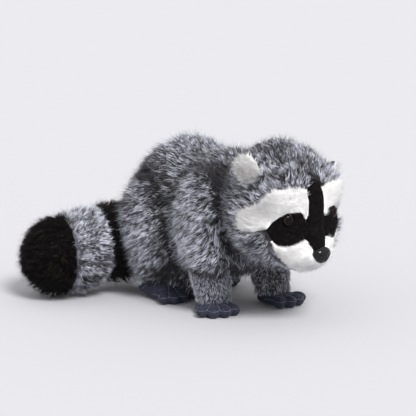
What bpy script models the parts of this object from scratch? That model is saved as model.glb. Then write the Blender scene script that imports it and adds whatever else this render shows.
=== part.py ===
"""Plush raccoon that rests low on all fours, as its sewn and moulded pieces.

Metres, +Z up. The animal faces -Y, its right side is -X, and the origin is under the middle of
its rump, on the surface that it rests on. Every stuffed piece is its outer form, fur included.
"""
import math

import bmesh
import bpy
from mathutils import Euler, Matrix, Vector
from mathutils.bvhtree import BVHTree

# Fits between pieces
SEAM_GAP = 0.0004
SHANK_CLEARANCE = 0.0003

# Body: the torso blends a rump, which rests on a small flat patch, with a raised chest
BACK_HEIGHT = 0.165
BELLY_PRESS = 0.008
RUMP_HALF_WIDTH = 0.062
RUMP_HALF_LENGTH = 0.066
CHEST_TOP = 0.161
CHEST_BOTTOM = 0.026
CHEST_HALF_WIDTH = 0.053
CHEST_HALF_LENGTH = 0.060
CHEST_AHEAD = 0.068

# Thigh that bulges from each side of the rump, its centre set in from the rump's side
HAUNCH_SET_IN = 0.025
HAUNCH_BACK = 0.008
HAUNCH_HALF_WIDTH = 0.037
HAUNCH_HALF_LENGTH = 0.046
HAUNCH_BOTTOM = 0.010
HAUNCH_TOP = 0.136

# Upper arm, with a hem of long fur that hangs over the forearm
ARM_SET_IN = 0.013
ARM_AHEAD = 0.002
ARM_HALF_WIDTH = 0.027
ARM_HALF_LENGTH = 0.036
ARM_TOP = 0.148
ARM_HEM = 0.036
HEM_AHEAD = 0.010
HEM_OVERHANG = 0.006
HEM_HALF_HEIGHT = 0.024

# Forearm and front paw; the left paw is a little further ahead than the right one
FOREARM_RADIUS = 0.0235
FOREARM_BACK = 0.008
FOREARM_TUCK = 0.024
PAW_SET_IN = 0.004
PAW_AHEAD = {"right": 0.008, "left": 0.022}
PAW_TURN = {"right": math.radians(-28), "left": math.radians(8)}
PAW_HALF_WIDTH = 0.0200
PAW_HALF_LENGTH = 0.0215
PAW_HEIGHT = 0.0130
TOE_COUNT = 4
TOE_RADIUS = 0.0064
TOE_HALF_LENGTH = 0.0096
TOE_REACH = 0.0200
TOE_FAN = math.radians(30)
SOLE_PRESS = 0.0006

# Hind foot, and the short cuff of the lower leg above its heel; the left foot is tucked back
FOOT_LENGTH = 0.060
FOOT_HEEL_BACK = {"right": 0.026, "left": 0.040}
FOOT_HALF_WIDTH = 0.0170
FOOT_HEIGHT = 0.0205
FOOT_SPLAY = math.radians(6)
FOOT_BALL_LOW = 0.8
HEEL_HALF_WIDTH = 0.0150
CUFF_RADIUS = 0.018
CUFF_HALF_HEIGHT = 0.0195
CUFF_MIDDLE = 0.019
CUFF_BEHIND = 0.007
CUFF_OUTWARD = 0.003

# Head: cranium, face wedge, brows, cheeks and snout are blended about the head's centre
HEAD_AHEAD = 0.009
HEAD_Z = 0.1165
HEAD_HALF_WIDTH = 0.058
HEAD_HALF_LENGTH = 0.047
HEAD_HALF_HEIGHT = 0.0605
CRANIUM_BACK = 0.006
FACE_HALF_WIDTH = 0.040
FACE_HALF_LENGTH = 0.036
FACE_HALF_HEIGHT = 0.050
FACE_REACH = 0.052
BROW_RADIUS = 0.0275
BROW_OUT = 0.0245
BROW_AHEAD = 0.020
BROW_RISE = 0.012
CHEEK_RADIUS = 0.027
CHEEK_OUT = 0.0305
CHEEK_AHEAD = 0.012
CHEEK_DROP = 0.025
SNOUT_HALF_WIDTH = 0.032
SNOUT_HALF_LENGTH = 0.028
SNOUT_HALF_HEIGHT = 0.023
SNOUT_REACH = 0.058
SNOUT_DROP = 0.043

# Face panels are outlined in a view turned this far from the front, about the head's centre,
# and each is seated in a pocket whose flat bottom lies this far out from that centre
PANEL_TURN = math.radians(41)
STRIPE_SEAT = 0.036
MASK_SEAT = 0.030
BROW_SEAT = 0.034
PANEL_OUTSIDE = 0.100
MASK_OUTLINE = (
    (-0.0155, -0.0165),
    (-0.0110, -0.0105),
    (-0.0030, -0.0045),
    (0.0040, -0.0015),
    (0.0110, -0.0020),
    (0.0170, -0.0020),
    (0.0185, -0.0090),
    (0.0215, -0.0105),
    (0.0290, -0.0110),
    (0.0290, -0.0260),
    (0.0210, -0.0270),
    (0.0085, -0.0320),
    (-0.0005, -0.0330),
    (-0.0080, -0.0300),
    (-0.0135, -0.0220),
)
BROW_OUTLINE = (
    (-0.0420, -0.0080),
    (-0.0420, -0.0215),
    (-0.0300, -0.0200),
    (-0.0175, -0.0175),
    (-0.0075, -0.0220),
    (0.0200, -0.0220),
    (0.0285, -0.0080),
    (0.0270, 0.0080),
    (0.0230, 0.0185),
    (0.0180, 0.0205),
    (0.0085, 0.0210),
    (-0.0055, 0.0210),
    (-0.0135, 0.0180),
    (-0.0195, 0.0135),
    (-0.0235, 0.0070),
    (-0.0305, 0.0030),
    (-0.0385, 0.0000),
)
# Forehead stripe and nose bridge: height above the head's centre and half-width there
STRIPE_PROFILE = (
    (0.0285, 0.0015),
    (0.0245, 0.0050),
    (0.0195, 0.0080),
    (0.0100, 0.0096),
    (-0.0060, 0.0098),
    (-0.0180, 0.0105),
    (-0.0260, 0.0118),
    (-0.0320, 0.0098),
    (-0.0390, 0.0068),
)
# Back edge of the snout panel, seen from the side: distance ahead and height from the head's centre
SNOUT_BACK_EDGE = (
    (0.031, -0.026),
    (0.030, -0.043),
    (0.033, -0.059),
    (0.041, -0.078),
)

# Moulded nose and eyes with their shanks and washers
NOSE_HALF_WIDTH = 0.0102
NOSE_HALF_HEIGHT = 0.0088
NOSE_HALF_LENGTH = 0.0068
NOSE_DROP = 0.0432
NOSE_PROUD = -0.0012
NOSE_TILT = 0.12
EYE_RADIUS = 0.0056
EYE_HALF_DEPTH = 0.0036
EYE_ACROSS = 0.0035
EYE_DROP = 0.0078
EYE_SINK = 0.0020
BUTTON_RIM = 0.0012
SHANK_RADIUS = 0.0016
SHANK_LENGTH = 0.012
WASHER_RADIUS = 0.0060
WASHER_THICK = 0.0012
WASHER_DEPTH = 0.009
WASHER_ROOM = 0.0006

# Ears: where they stand on the head, as angles from its centre, how far their middles stand out of
# it, and how they are turned; the left ear flops further out
EAR_ELEVATION = {"right": math.radians(38), "left": math.radians(19)}
EAR_FORWARD = {"right": math.radians(5), "left": math.radians(-5)}
EAR_PROUD = 0.006
EAR_HALF_WIDTH = 0.0130
EAR_HALF_HEIGHT = 0.0175
EAR_HALF_THICK = 0.0060
EAR_TURN = math.radians(62)
EAR_LEAN = {"right": math.radians(18), "left": math.radians(64)}

# Tail: its centre line, from the rump's rearmost point and above its lowest line, and its bands
TAIL_ROUTE = (
    (0.000, -0.034, 0.008),
    (-0.032, -0.011, 0.008),
    (-0.068, -0.003, 0.009),
    (-0.106, 0.007, 0.002),
    (-0.148, 0.022, -0.001),
)
TAIL_RADIUS = 0.041
TAIL_ROOT_RADIUS = 0.034
TAIL_SWELL_LENGTH = 0.080
TAIL_TIP_LENGTH = 0.046
TAIL_TIP_DOME = 0.037
TAIL_TIP_ROUND = 2.0
TAIL_TIP_SHARE = 0.995
TAIL_GREY_LENGTH = 0.036
TAIL_SEAM_DIP = 0.0035
TAIL_SEAM_WIDTH = 0.007

# Mesh fineness
BODY_CELL = 0.0160
LIMB_CELL = 0.0120
HEAD_CELL = 0.0092
ROUND_SEGMENTS = 16
TAIL_SEGMENTS = 26
TAIL_RINGS = 8

# Places that follow from the sizes above
HAUNCH_X = RUMP_HALF_WIDTH - HAUNCH_SET_IN
CHEST_Y = -CHEST_AHEAD
ARM_X = CHEST_HALF_WIDTH - ARM_SET_IN
ARM_Y = CHEST_Y - ARM_AHEAD
HEAD_CENTRE = Vector((0, CHEST_Y - CHEST_HALF_LENGTH - HEAD_AHEAD, HEAD_Z))

SIDES = {"right": -1.0, "left": 1.0}
COLOURS = {
    "grey_fur": (0.10, 0.105, 0.12, 0.9),
    "dark_fur": (0.012, 0.011, 0.011, 0.9),
    "white_fur": (0.80, 0.78, 0.74, 0.9),
    "pale_fur": (0.40, 0.41, 0.44, 0.9),
    "navy_suede": (0.018, 0.021, 0.045, 0.85),
    "black_plastic": (0.008, 0.008, 0.009, 0.25),
    "white_plastic": (0.75, 0.75, 0.73, 0.45),
}


def clear_scene():
    for obj in list(bpy.data.objects):
        bpy.data.objects.remove(obj, do_unlink=True)


def material(name):
    found = bpy.data.materials.get(name)
    if found:
        return found
    red, green, blue, roughness = COLOURS[name]
    made = bpy.data.materials.new(name)
    made.use_nodes = True
    shader = made.node_tree.nodes["Principled BSDF"]
    shader.inputs["Base Color"].default_value = (red, green, blue, 1)
    shader.inputs["Roughness"].default_value = roughness
    shader.inputs["Metallic"].default_value = 0
    return made


def link(name, mesh):
    obj = bpy.data.objects.new(name, mesh)
    bpy.context.scene.collection.objects.link(obj)
    return obj


def baked(obj):
    """The object's mesh with its modifiers applied; the object itself goes."""
    graph = bpy.context.evaluated_depsgraph_get()
    mesh = bpy.data.meshes.new_from_object(obj.evaluated_get(graph))
    bpy.data.objects.remove(obj, do_unlink=True)
    return mesh


def mesh_from(bm):
    bmesh.ops.recalc_face_normals(bm, faces=bm.faces)
    mesh = bpy.data.meshes.new("form")
    bm.to_mesh(mesh)
    bm.free()
    return mesh


def add_ball(bm, ball, fineness, grow=0.0):
    """Adds an ellipsoid given as (centre, radii, turn about Z)."""
    centre, radii, turn = ball
    size = Vector(radii) + Vector((grow, grow, grow))
    place = Matrix.LocRotScale(Vector(centre), Euler((0, 0, turn)), size)
    bmesh.ops.create_icosphere(bm, subdivisions=fineness, radius=1, matrix=place)


def blend(balls, cell):
    """One smooth closed form over overlapping balls."""
    bm = bmesh.new()
    for ball in balls:
        add_ball(bm, ball, 4)
    guide = link("blend_guide", mesh_from(bm))
    remesh = guide.modifiers.new("Blend", "REMESH")
    remesh.mode = "VOXEL"
    remesh.voxel_size = cell
    soften = guide.modifiers.new("Soften", "SMOOTH")
    soften.factor = 0.5
    soften.iterations = 5
    guide.modifiers.new("Split", "TRIANGULATE")
    return baked(guide)


def cluster(balls, grow=0.0):
    """A large ball joined with smaller ones, each keeping its own round."""
    forms = []
    for index, ball in enumerate(balls):
        bm = bmesh.new()
        add_ball(bm, ball, 3 if index == 0 else 2, grow)
        forms.append(mesh_from(bm))
    return cut(forms[0], forms[1:], "UNION")


def grown(mesh, distance):
    """A copy of a smooth closed form with its surface moved outward."""
    copy = mesh.copy()
    for vertex, start in zip(copy.vertices, mesh.vertices):
        vertex.co = start.co + start.normal * distance
    return copy


def floor_block():
    """Everything below the surface that the animal rests on."""
    bm = bmesh.new()
    place = Matrix.LocRotScale(Vector((0, 0, -0.1)), None, Vector((0.8, 0.8, 0.2)))
    bmesh.ops.create_cube(bm, size=1, matrix=place)
    return mesh_from(bm)


def prism(outline, depths, place):
    """A closed prism: an outline in (across, up), pulled along the place's outward axis."""
    bm = bmesh.new()
    rings = []
    for depth in depths:
        rings.append([bm.verts.new(place @ Vector((u, -depth, v))) for u, v in outline])
    bm.faces.new(rings[0])
    bm.faces.new(reversed(rings[1]))
    count = len(outline)
    for i in range(count):
        j = (i + 1) % count
        bm.faces.new((rings[0][i], rings[0][j], rings[1][j], rings[1][i]))
    return mesh_from(bm)


def curve_point(a, b, c, d, t):
    """A point between b and c on the smooth curve through a, b, c and d (Catmull-Rom)."""
    return (2 * b + (c - a) * t + (2 * a - 5 * b + 4 * c - d) * t**2 + (3 * b - a - 3 * c + d) * t**3) / 2


def smooth_outline(points, steps=3):
    count = len(points)
    curve = []
    for i in range(count):
        near = [Vector(points[(i + k) % count]) for k in (-1, 0, 1, 2)]
        for step in range(steps):
            curve.append(curve_point(*near, step / steps))
    return curve


def offset_outline(points, distance):
    """The outline moved outward, whichever way round it runs."""
    count = len(points)
    area = sum(points[i].cross(points[(i + 1) % count]) for i in range(count))
    turn = 1 if area > 0 else -1
    moved = []
    for i in range(count):
        before = (points[i] - points[i - 1]).normalized()
        after = (points[(i + 1) % count] - points[i]).normalized()
        along = (before + after).normalized()
        moved.append(points[i] + Vector((along.y, -along.x)) * turn * distance)
    return moved


def cut(mesh, tools, operation="DIFFERENCE"):
    """The mesh after one exact Boolean with all the closed tool meshes."""
    target = link("cut_target", mesh)
    group = bpy.data.collections.new("cut_tools")
    for tool_mesh in tools:
        tool = bpy.data.objects.new("cut_tool", tool_mesh)
        tool.hide_render = True
        tool.display_type = "WIRE"
        group.objects.link(tool)
    boolean = target.modifiers.new("Cut", "BOOLEAN")
    boolean.operation = operation
    boolean.operand_type = "COLLECTION"
    boolean.collection = group
    mesh = baked(target)
    for tool in list(group.objects):
        bpy.data.objects.remove(tool, do_unlink=True)
    bpy.data.collections.remove(group)
    return mesh


def bodies_of(bm):
    """The separate closed bodies of a mesh, as sets of faces, the largest first."""
    left = set(bm.faces)
    bodies = []
    while left:
        front = [left.pop()]
        body = set(front)
        while front:
            for edge in front.pop().edges:
                new = [face for face in edge.link_faces if face in left]
                left.difference_update(new)
                body.update(new)
                front.extend(new)
        bodies.append(body)
    return sorted(bodies, key=len, reverse=True)


def finish(name, mesh, material_name):
    """Makes the named piece: its largest body, without crumbs that a cut left, shaded smooth."""
    bm = bmesh.new()
    bm.from_mesh(mesh)
    for crumb in bodies_of(bm)[1:]:
        corners = {vertex for face in crumb for vertex in face.verts}
        bmesh.ops.delete(bm, geom=list(corners), context="VERTS")
    bmesh.ops.triangulate(bm, faces=bm.faces)
    bmesh.ops.recalc_face_normals(bm, faces=bm.faces)
    done = bpy.data.meshes.new(name)
    bm.to_mesh(done)
    bm.free()
    done.materials.append(material(material_name))
    done.shade_smooth()
    done.set_sharp_from_angle(angle=math.radians(50))
    return link(name, done)


def torso_form():
    rump_radius = (BACK_HEIGHT + BELLY_PRESS) / 2
    chest_radius = (CHEST_TOP - CHEST_BOTTOM) / 2
    rump = ((0, 0, BACK_HEIGHT - rump_radius), (RUMP_HALF_WIDTH, RUMP_HALF_LENGTH, rump_radius), 0)
    chest = ((0, CHEST_Y, CHEST_TOP - chest_radius), (CHEST_HALF_WIDTH, CHEST_HALF_LENGTH, chest_radius), 0)
    return blend([rump, chest], BODY_CELL)


def haunch_form(side):
    radius = (HAUNCH_TOP - HAUNCH_BOTTOM) / 2
    centre = (side * HAUNCH_X, HAUNCH_BACK, HAUNCH_TOP - radius)
    return blend([(centre, (HAUNCH_HALF_WIDTH, HAUNCH_HALF_LENGTH, radius), 0)], BODY_CELL)


def upper_arm_form(side):
    radius = (ARM_TOP - ARM_HEM) / 2
    sleeve = ((side * ARM_X, ARM_Y, ARM_TOP - radius), (ARM_HALF_WIDTH, ARM_HALF_LENGTH, radius), 0)
    hem_radius = FOREARM_RADIUS + HEM_OVERHANG
    hem = (
        (side * ARM_X, ARM_Y - HEM_AHEAD, ARM_HEM + HEM_HALF_HEIGHT),
        (hem_radius, hem_radius, HEM_HALF_HEIGHT),
        0,
    )
    return blend([sleeve, hem], LIMB_CELL)


def paw_place(key):
    spot = (SIDES[key] * (ARM_X - PAW_SET_IN), ARM_Y - PAW_AHEAD[key], 0)
    return Matrix.Translation(spot) @ Matrix.Rotation(PAW_TURN[key], 4, "Z")


def forearm_form(key):
    """A straight soft column from the paw up into the upper arm."""
    low = paw_place(key) @ Vector((0, FOREARM_BACK, FOREARM_RADIUS))
    high = Vector((SIDES[key] * ARM_X, ARM_Y, ARM_HEM + FOREARM_TUCK))
    radii = (FOREARM_RADIUS, FOREARM_RADIUS, FOREARM_RADIUS)
    return blend([(low.lerp(high, share), radii, 0) for share in (0, 0.33, 0.66, 1)], LIMB_CELL)


def toes(place, reach):
    """Toes that fan out from a place, resting on the surface."""
    balls = []
    for i in range(TOE_COUNT):
        angle = (i - (TOE_COUNT - 1) / 2) * TOE_FAN
        spot = place @ Vector((math.sin(angle) * reach, -math.cos(angle) * reach, 0))
        spot.z = TOE_RADIUS - SOLE_PRESS
        balls.append((spot, (TOE_RADIUS, TOE_HALF_LENGTH, TOE_RADIUS), place.to_euler().z + angle))
    return balls


def paw_form(key, grow=0.0):
    place = paw_place(key)
    half = PAW_HEIGHT / 2
    centre = place @ Vector((0, 0, half - SOLE_PRESS))
    palm = (centre, (PAW_HALF_WIDTH, PAW_HALF_LENGTH, half), place.to_euler().z)
    return cluster([palm] + toes(place, TOE_REACH), grow)


def foot_place(key):
    """The middle of a foot's sole, with -Y towards its toes."""
    side = SIDES[key]
    heel = HAUNCH_BACK + FOOT_HEEL_BACK[key]
    spot = (side * HAUNCH_X, heel - FOOT_LENGTH / 2, 0)
    return Matrix.Translation(spot) @ Matrix.Rotation(side * FOOT_SPLAY, 4, "Z")


def foot_form(key, grow=0.0):
    place = foot_place(key)
    turn = place.to_euler().z
    half = FOOT_HEIGHT / 2
    level = half - SOLE_PRESS
    sole = (place @ Vector((0, 0, level)), (FOOT_HALF_WIDTH, FOOT_LENGTH / 2, half), turn)
    heel_spot = place @ Vector((0, FOOT_LENGTH / 2 - HEEL_HALF_WIDTH, level))
    heel = (heel_spot, (HEEL_HALF_WIDTH, HEEL_HALF_WIDTH, half), turn)
    ball_back = FOOT_LENGTH / 2 - FOOT_HALF_WIDTH
    low = half * FOOT_BALL_LOW
    ball_spot = place @ Vector((0, -ball_back, low - SOLE_PRESS))
    ball = (ball_spot, (FOOT_HALF_WIDTH, FOOT_HALF_WIDTH, low), turn)
    front = place @ Matrix.Translation((0, -ball_back, 0))
    return cluster([sole, heel, ball] + toes(front, FOOT_HALF_WIDTH), grow)


def cuff_form(key):
    back = FOOT_LENGTH / 2 - CUFF_RADIUS + CUFF_BEHIND
    spot = foot_place(key) @ Vector((SIDES[key] * CUFF_OUTWARD, back, CUFF_MIDDLE))
    return blend([(spot, (CUFF_RADIUS, CUFF_RADIUS, CUFF_HALF_HEIGHT), 0)], LIMB_CELL)


def head_form():
    cranium = (
        HEAD_CENTRE + Vector((0, CRANIUM_BACK, 0)),
        (HEAD_HALF_WIDTH, HEAD_HALF_LENGTH, HEAD_HALF_HEIGHT),
        0,
    )
    face = (
        HEAD_CENTRE + Vector((0, FACE_HALF_LENGTH - FACE_REACH, 0)),
        (FACE_HALF_WIDTH, FACE_HALF_LENGTH, FACE_HALF_HEIGHT),
        0,
    )
    snout = (
        HEAD_CENTRE + Vector((0, SNOUT_HALF_LENGTH - SNOUT_REACH, -SNOUT_DROP)),
        (SNOUT_HALF_WIDTH, SNOUT_HALF_LENGTH, SNOUT_HALF_HEIGHT),
        0,
    )
    balls = [cranium, face, snout]
    for side in SIDES.values():
        brow = HEAD_CENTRE + Vector((side * BROW_OUT, -BROW_AHEAD, BROW_RISE))
        cheek = HEAD_CENTRE + Vector((side * CHEEK_OUT, -CHEEK_AHEAD, -CHEEK_DROP))
        balls.append((brow, (BROW_RADIUS, BROW_RADIUS, BROW_RADIUS), 0))
        balls.append((cheek, (CHEEK_RADIUS, CHEEK_RADIUS, CHEEK_RADIUS), 0))
    return blend(balls, HEAD_CELL)


def panel_frame(side):
    """Maps (across, outward, up) about the head's centre, for the panels of one side."""
    turn = Matrix.Rotation(-PANEL_TURN, 4, "Z")
    mirror = Matrix.Scale(-side, 4, (1, 0, 0))
    return Matrix.Translation(HEAD_CENTRE) @ mirror @ turn


def side_room(outline, seat, side, grow):
    """The room of a side panel of the face: its outline, from its seat outward."""
    curve = offset_outline(smooth_outline(outline), grow)
    return prism(curve, (seat - grow, PANEL_OUTSIDE), panel_frame(side))


def stripe_room(grow):
    right = [Vector((-half, up)) for up, half in STRIPE_PROFILE]
    left = [Vector((half, up)) for up, half in reversed(STRIPE_PROFILE)]
    curve = offset_outline(right + left, grow)
    return prism(curve, (STRIPE_SEAT - grow, PANEL_OUTSIDE), Matrix.Translation(HEAD_CENTRE))


def snout_room(grow):
    """The room of the snout panel: its side view, pulled right through from side to side."""
    outline = [Vector(point) for point in SNOUT_BACK_EDGE]
    outline.append(Vector((PANEL_OUTSIDE, SNOUT_BACK_EDGE[-1][1])))
    outline.append(Vector((PANEL_OUTSIDE, SNOUT_BACK_EDGE[0][1])))
    sideways = Matrix.Translation(HEAD_CENTRE) @ Matrix.Rotation(math.radians(-90), 4, "Z")
    return prism(offset_outline(outline, grow), (-PANEL_OUTSIDE, PANEL_OUTSIDE), sideways)


def surface_hit(mesh, start, direction):
    """Where a line first meets a form."""
    tree = BVHTree.FromPolygons([v.co for v in mesh.vertices], [p.vertices for p in mesh.polygons])
    return tree.ray_cast(start, direction)[0]


def facing(point, direction):
    """A place at the point, with its Z axis along the direction."""
    return Matrix.Translation(point) @ Vector(direction).to_track_quat("Z", "Y").to_matrix().to_4x4()


def circle(bm, place, radius, height):
    ring = []
    for i in range(ROUND_SEGMENTS):
        angle = math.tau * i / ROUND_SEGMENTS
        point = Vector((radius * math.cos(angle), radius * math.sin(angle), height))
        ring.append(bm.verts.new(place @ point))
    return ring


def join_rings(bm, upper, lower):
    count = len(upper)
    for i in range(count):
        j = (i + 1) % count
        bm.faces.new((upper[i], lower[i], lower[j], upper[j]))


def turned_solid(profile, place):
    """A solid turned about the place's Z axis from (radius, height) points, top to bottom."""
    bm = bmesh.new()
    rings = [circle(bm, place, radius, height) for radius, height in profile]
    for upper, lower in zip(rings, rings[1:]):
        join_rings(bm, upper, lower)
    bm.faces.new(rings[0])
    bm.faces.new(reversed(rings[-1]))
    return mesh_from(bm)


def button(place, radius, half_depth, grow=0.0):
    """A domed button with a flat back, and a shank that runs inward along -Z."""
    profile = []
    for degrees in (82, 62, 40, 20, 0):
        angle = math.radians(degrees)
        profile.append(((radius + grow) * math.cos(angle), (half_depth + grow) * math.sin(angle)))
    back = -BUTTON_RIM - grow
    profile.append((radius + grow, back))
    profile.append((SHANK_RADIUS + grow, back))
    profile.append((SHANK_RADIUS + grow, -SHANK_LENGTH - grow))
    return turned_solid(profile, place)


def washer(place):
    """A flat ring on a shank, behind the cloth that the button and it clamp."""
    bore = SHANK_RADIUS + SHANK_CLEARANCE
    low = -WASHER_DEPTH - WASHER_THICK
    bm = bmesh.new()
    corners = ((bore, -WASHER_DEPTH), (WASHER_RADIUS, -WASHER_DEPTH), (WASHER_RADIUS, low), (bore, low))
    rings = [circle(bm, place, radius, height) for radius, height in corners]
    for upper, lower in zip(rings, rings[1:] + rings[:1]):
        join_rings(bm, upper, lower)
    return mesh_from(bm)


def washer_room(place):
    radius = WASHER_RADIUS + SEAM_GAP
    top = -WASHER_DEPTH + WASHER_ROOM
    low = -WASHER_DEPTH - WASHER_THICK - WASHER_ROOM
    return turned_solid([(radius, top), (radius, low)], place)


def fit_button(name, place, stretch, radius, half_depth):
    """Makes a button and its washer, and gives back the rooms that they need."""
    finish(name, button(place @ stretch, radius, half_depth), "black_plastic")
    kind, _, key = name.partition("_")
    finish(f"{kind}_washer_{key}" if key else f"{kind}_washer", washer(place), "white_plastic")
    return [button(place @ stretch, radius, half_depth, SEAM_GAP), washer_room(place)]


def make_nose(head):
    spot = surface_hit(head, HEAD_CENTRE + Vector((0, -PANEL_OUTSIDE, -NOSE_DROP)), Vector((0, 1, 0)))
    place = facing(spot - Vector((0, NOSE_PROUD, 0)), (0, -1, NOSE_TILT))
    flatten = Matrix.Diagonal((1, NOSE_HALF_HEIGHT / NOSE_HALF_WIDTH, 1, 1))
    return fit_button("nose", place, flatten, NOSE_HALF_WIDTH, NOSE_HALF_LENGTH)


def make_eye(head, key):
    frame = panel_frame(SIDES[key])
    outward = (frame.to_3x3() @ Vector((0, -1, 0))).normalized()
    spot = surface_hit(head, frame @ Vector((EYE_ACROSS, -PANEL_OUTSIDE, -EYE_DROP)), -outward)
    aim = outward + Vector((0, -1, 0))
    place = facing(spot - outward * EYE_SINK, aim)
    return fit_button(f"eye_{key}", place, Matrix.Identity(4), EYE_RADIUS, EYE_HALF_DEPTH)


def ear_place(head, key):
    """The middle of an ear, just outside the head's surface, turned outward and leaning out."""
    side = SIDES[key]
    level = math.cos(EAR_ELEVATION[key])
    direction = Vector((
        side * level * math.cos(EAR_FORWARD[key]),
        -level * math.sin(EAR_FORWARD[key]),
        math.sin(EAR_ELEVATION[key]),
    ))
    spot = surface_hit(head, HEAD_CENTRE + direction * PANEL_OUTSIDE, -direction)
    turn = Matrix.Rotation(side * EAR_LEAN[key], 4, "Y") @ Matrix.Rotation(side * EAR_TURN, 4, "Z")
    return Matrix.Translation(spot + direction * EAR_PROUD) @ turn


def ear_layer(place, low, high, grow=0.0):
    """One layer of an ear: a slice of a flat round between two depths."""
    bm = bmesh.new()
    bmesh.ops.create_uvsphere(bm, u_segments=14, v_segments=8, radius=1)
    for vertex in bm.verts:
        x, y, z = vertex.co
        depth = min(max(y * (EAR_HALF_THICK + grow), low - grow), high + grow)
        vertex.co = place @ Vector((x * (EAR_HALF_WIDTH + grow), depth, z * (EAR_HALF_HEIGHT + grow)))
    bmesh.ops.remove_doubles(bm, verts=bm.verts, dist=0.00005)
    return mesh_from(bm)


def make_ear(head, key):
    place = ear_place(head, key)
    finish(f"ear_front_{key}", ear_layer(place, -EAR_HALF_THICK, -SEAM_GAP / 2), "white_fur")
    finish(f"ear_back_{key}", ear_layer(place, SEAM_GAP / 2, EAR_HALF_THICK), "dark_fur")
    return ear_layer(place, -EAR_HALF_THICK, EAR_HALF_THICK, SEAM_GAP)


def make_head(head):
    """The head and its panels, each piece cut back from the ones that lie over it."""
    fittings = make_nose(head)
    for key in SIDES:
        fittings += make_eye(head, key)
    stripe_wide = stripe_room(SEAM_GAP)
    stripe = cut(stripe_room(0), [head], "INTERSECT")
    finish("forehead_stripe", cut(stripe, fittings), "dark_fur")
    rooms = [stripe_wide]
    masks = []
    for key, side in SIDES.items():
        mask_wide = side_room(MASK_OUTLINE, MASK_SEAT, side, SEAM_GAP)
        mask = cut(side_room(MASK_OUTLINE, MASK_SEAT, side, 0), [head], "INTERSECT")
        finish(f"eye_patch_{key}", cut(mask, [stripe_wide] + fittings), "dark_fur")
        brow = cut(side_room(BROW_OUTLINE, BROW_SEAT, side, 0), [head], "INTERSECT")
        finish(f"brow_patch_{key}", cut(brow, [stripe_wide, mask_wide] + fittings), "white_fur")
        rooms += [mask_wide, side_room(BROW_OUTLINE, BROW_SEAT, side, SEAM_GAP)]
        masks.append(mask_wide)
    snout = cut(snout_room(0), [head], "INTERSECT")
    finish("muzzle", cut(snout, [stripe_wide] + masks + fittings), "white_fur")
    rooms.append(snout_room(SEAM_GAP))
    ears = [make_ear(head, key) for key in SIDES]
    finish("head", cut(head, rooms + fittings + ears), "grey_fur")


def make_hind_leg(key, floor):
    """Foot, cuff and haunch of one side; gives back the room that the body leaves them."""
    foot_wide = foot_form(key, SEAM_GAP)
    cuff = cuff_form(key)
    haunch = haunch_form(SIDES[key])
    finish(f"hind_foot_{key}", cut(foot_form(key), [floor]), "navy_suede")
    finish(f"hind_cuff_{key}", cut(cuff, [floor, foot_wide]), "pale_fur")
    finish(f"haunch_{key}", cut(haunch, [foot_wide, grown(cuff, SEAM_GAP)]), "grey_fur")
    return [foot_wide, grown(cuff, SEAM_GAP), grown(haunch, SEAM_GAP)]


def make_front_leg(key, floor, head_room):
    """Paw, forearm and upper arm of one side; gives back the room that the body leaves them."""
    paw_wide = paw_form(key, SEAM_GAP)
    forearm = forearm_form(key)
    upper_arm = upper_arm_form(SIDES[key])
    arm_wide = grown(upper_arm, SEAM_GAP)
    finish(f"front_paw_{key}", cut(paw_form(key), [floor]), "navy_suede")
    finish(f"forearm_{key}", cut(forearm, [floor, paw_wide, arm_wide]), "grey_fur")
    finish(f"upper_arm_{key}", cut(upper_arm, [head_room]), "grey_fur")
    return [paw_wide, grown(forearm, SEAM_GAP), arm_wide]


def tail_points():
    rear = Vector((0, RUMP_HALF_LENGTH, TAIL_RADIUS))
    return [rear + Vector(point) for point in TAIL_ROUTE]


def tail_centre(share):
    """A point of the tail's centre line; share runs from 0 at the root to 1 at the tip."""
    points = tail_points()
    points = [points[0] * 2 - points[1]] + points + [points[-1] * 2 - points[-2]]
    spans = len(TAIL_ROUTE) - 1
    place = min(max(share, 0), 1) * spans
    i = min(int(place), spans - 1)
    return curve_point(*points[i : i + 4], place - i)


def tail_marks(steps=240):
    """Distance along the centre line at evenly spaced shares of it."""
    marks = [0.0]
    for step in range(steps):
        marks.append(marks[-1] + (tail_centre((step + 1) / steps) - tail_centre(step / steps)).length)
    return marks


def tail_at(marks, distance):
    """The centre line's point at a distance from the root."""
    last = len(marks) - 1
    step = next((k for k in range(1, last + 1) if marks[k] >= distance), last)
    inside = (distance - marks[step - 1]) / (marks[step] - marks[step - 1])
    return tail_centre((step - 1 + min(inside, 1)) / last)


def tail_radius(distance, total, seams):
    """The tail swells from its root, dips at each seam and ends in a dome."""
    swell = math.sin(min(distance / TAIL_SWELL_LENGTH, 1) * math.pi / 2)
    radius = TAIL_ROOT_RADIUS + (TAIL_RADIUS - TAIL_ROOT_RADIUS) * swell
    for seam in seams:
        radius -= TAIL_SEAM_DIP * math.exp(-(((distance - seam) / TAIL_SEAM_WIDTH) ** 2))
    left = max(total - distance, 0)
    if left < TAIL_TIP_DOME:
        radius *= math.sqrt(max(1 - (1 - left / TAIL_TIP_DOME) ** TAIL_TIP_ROUND, 0))
    return radius


def tail_ring(bm, marks, distance, seams):
    """An upright ring of the tail's surface."""
    total = marks[-1]
    step = 0.002
    ahead = tail_at(marks, min(distance + step, total))
    behind = tail_at(marks, max(distance - step, 0))
    upward = Vector((0, 0, 1))
    across = upward.cross(ahead - behind).normalized()
    centre = tail_at(marks, distance)
    radius = tail_radius(distance, total, seams)
    ring = []
    for i in range(TAIL_SEGMENTS):
        angle = math.tau * i / TAIL_SEGMENTS
        point = centre + (across * math.cos(angle) + upward * math.sin(angle)) * radius
        point.z = max(point.z, 0)
        ring.append(bm.verts.new(point))
    return ring


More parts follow.
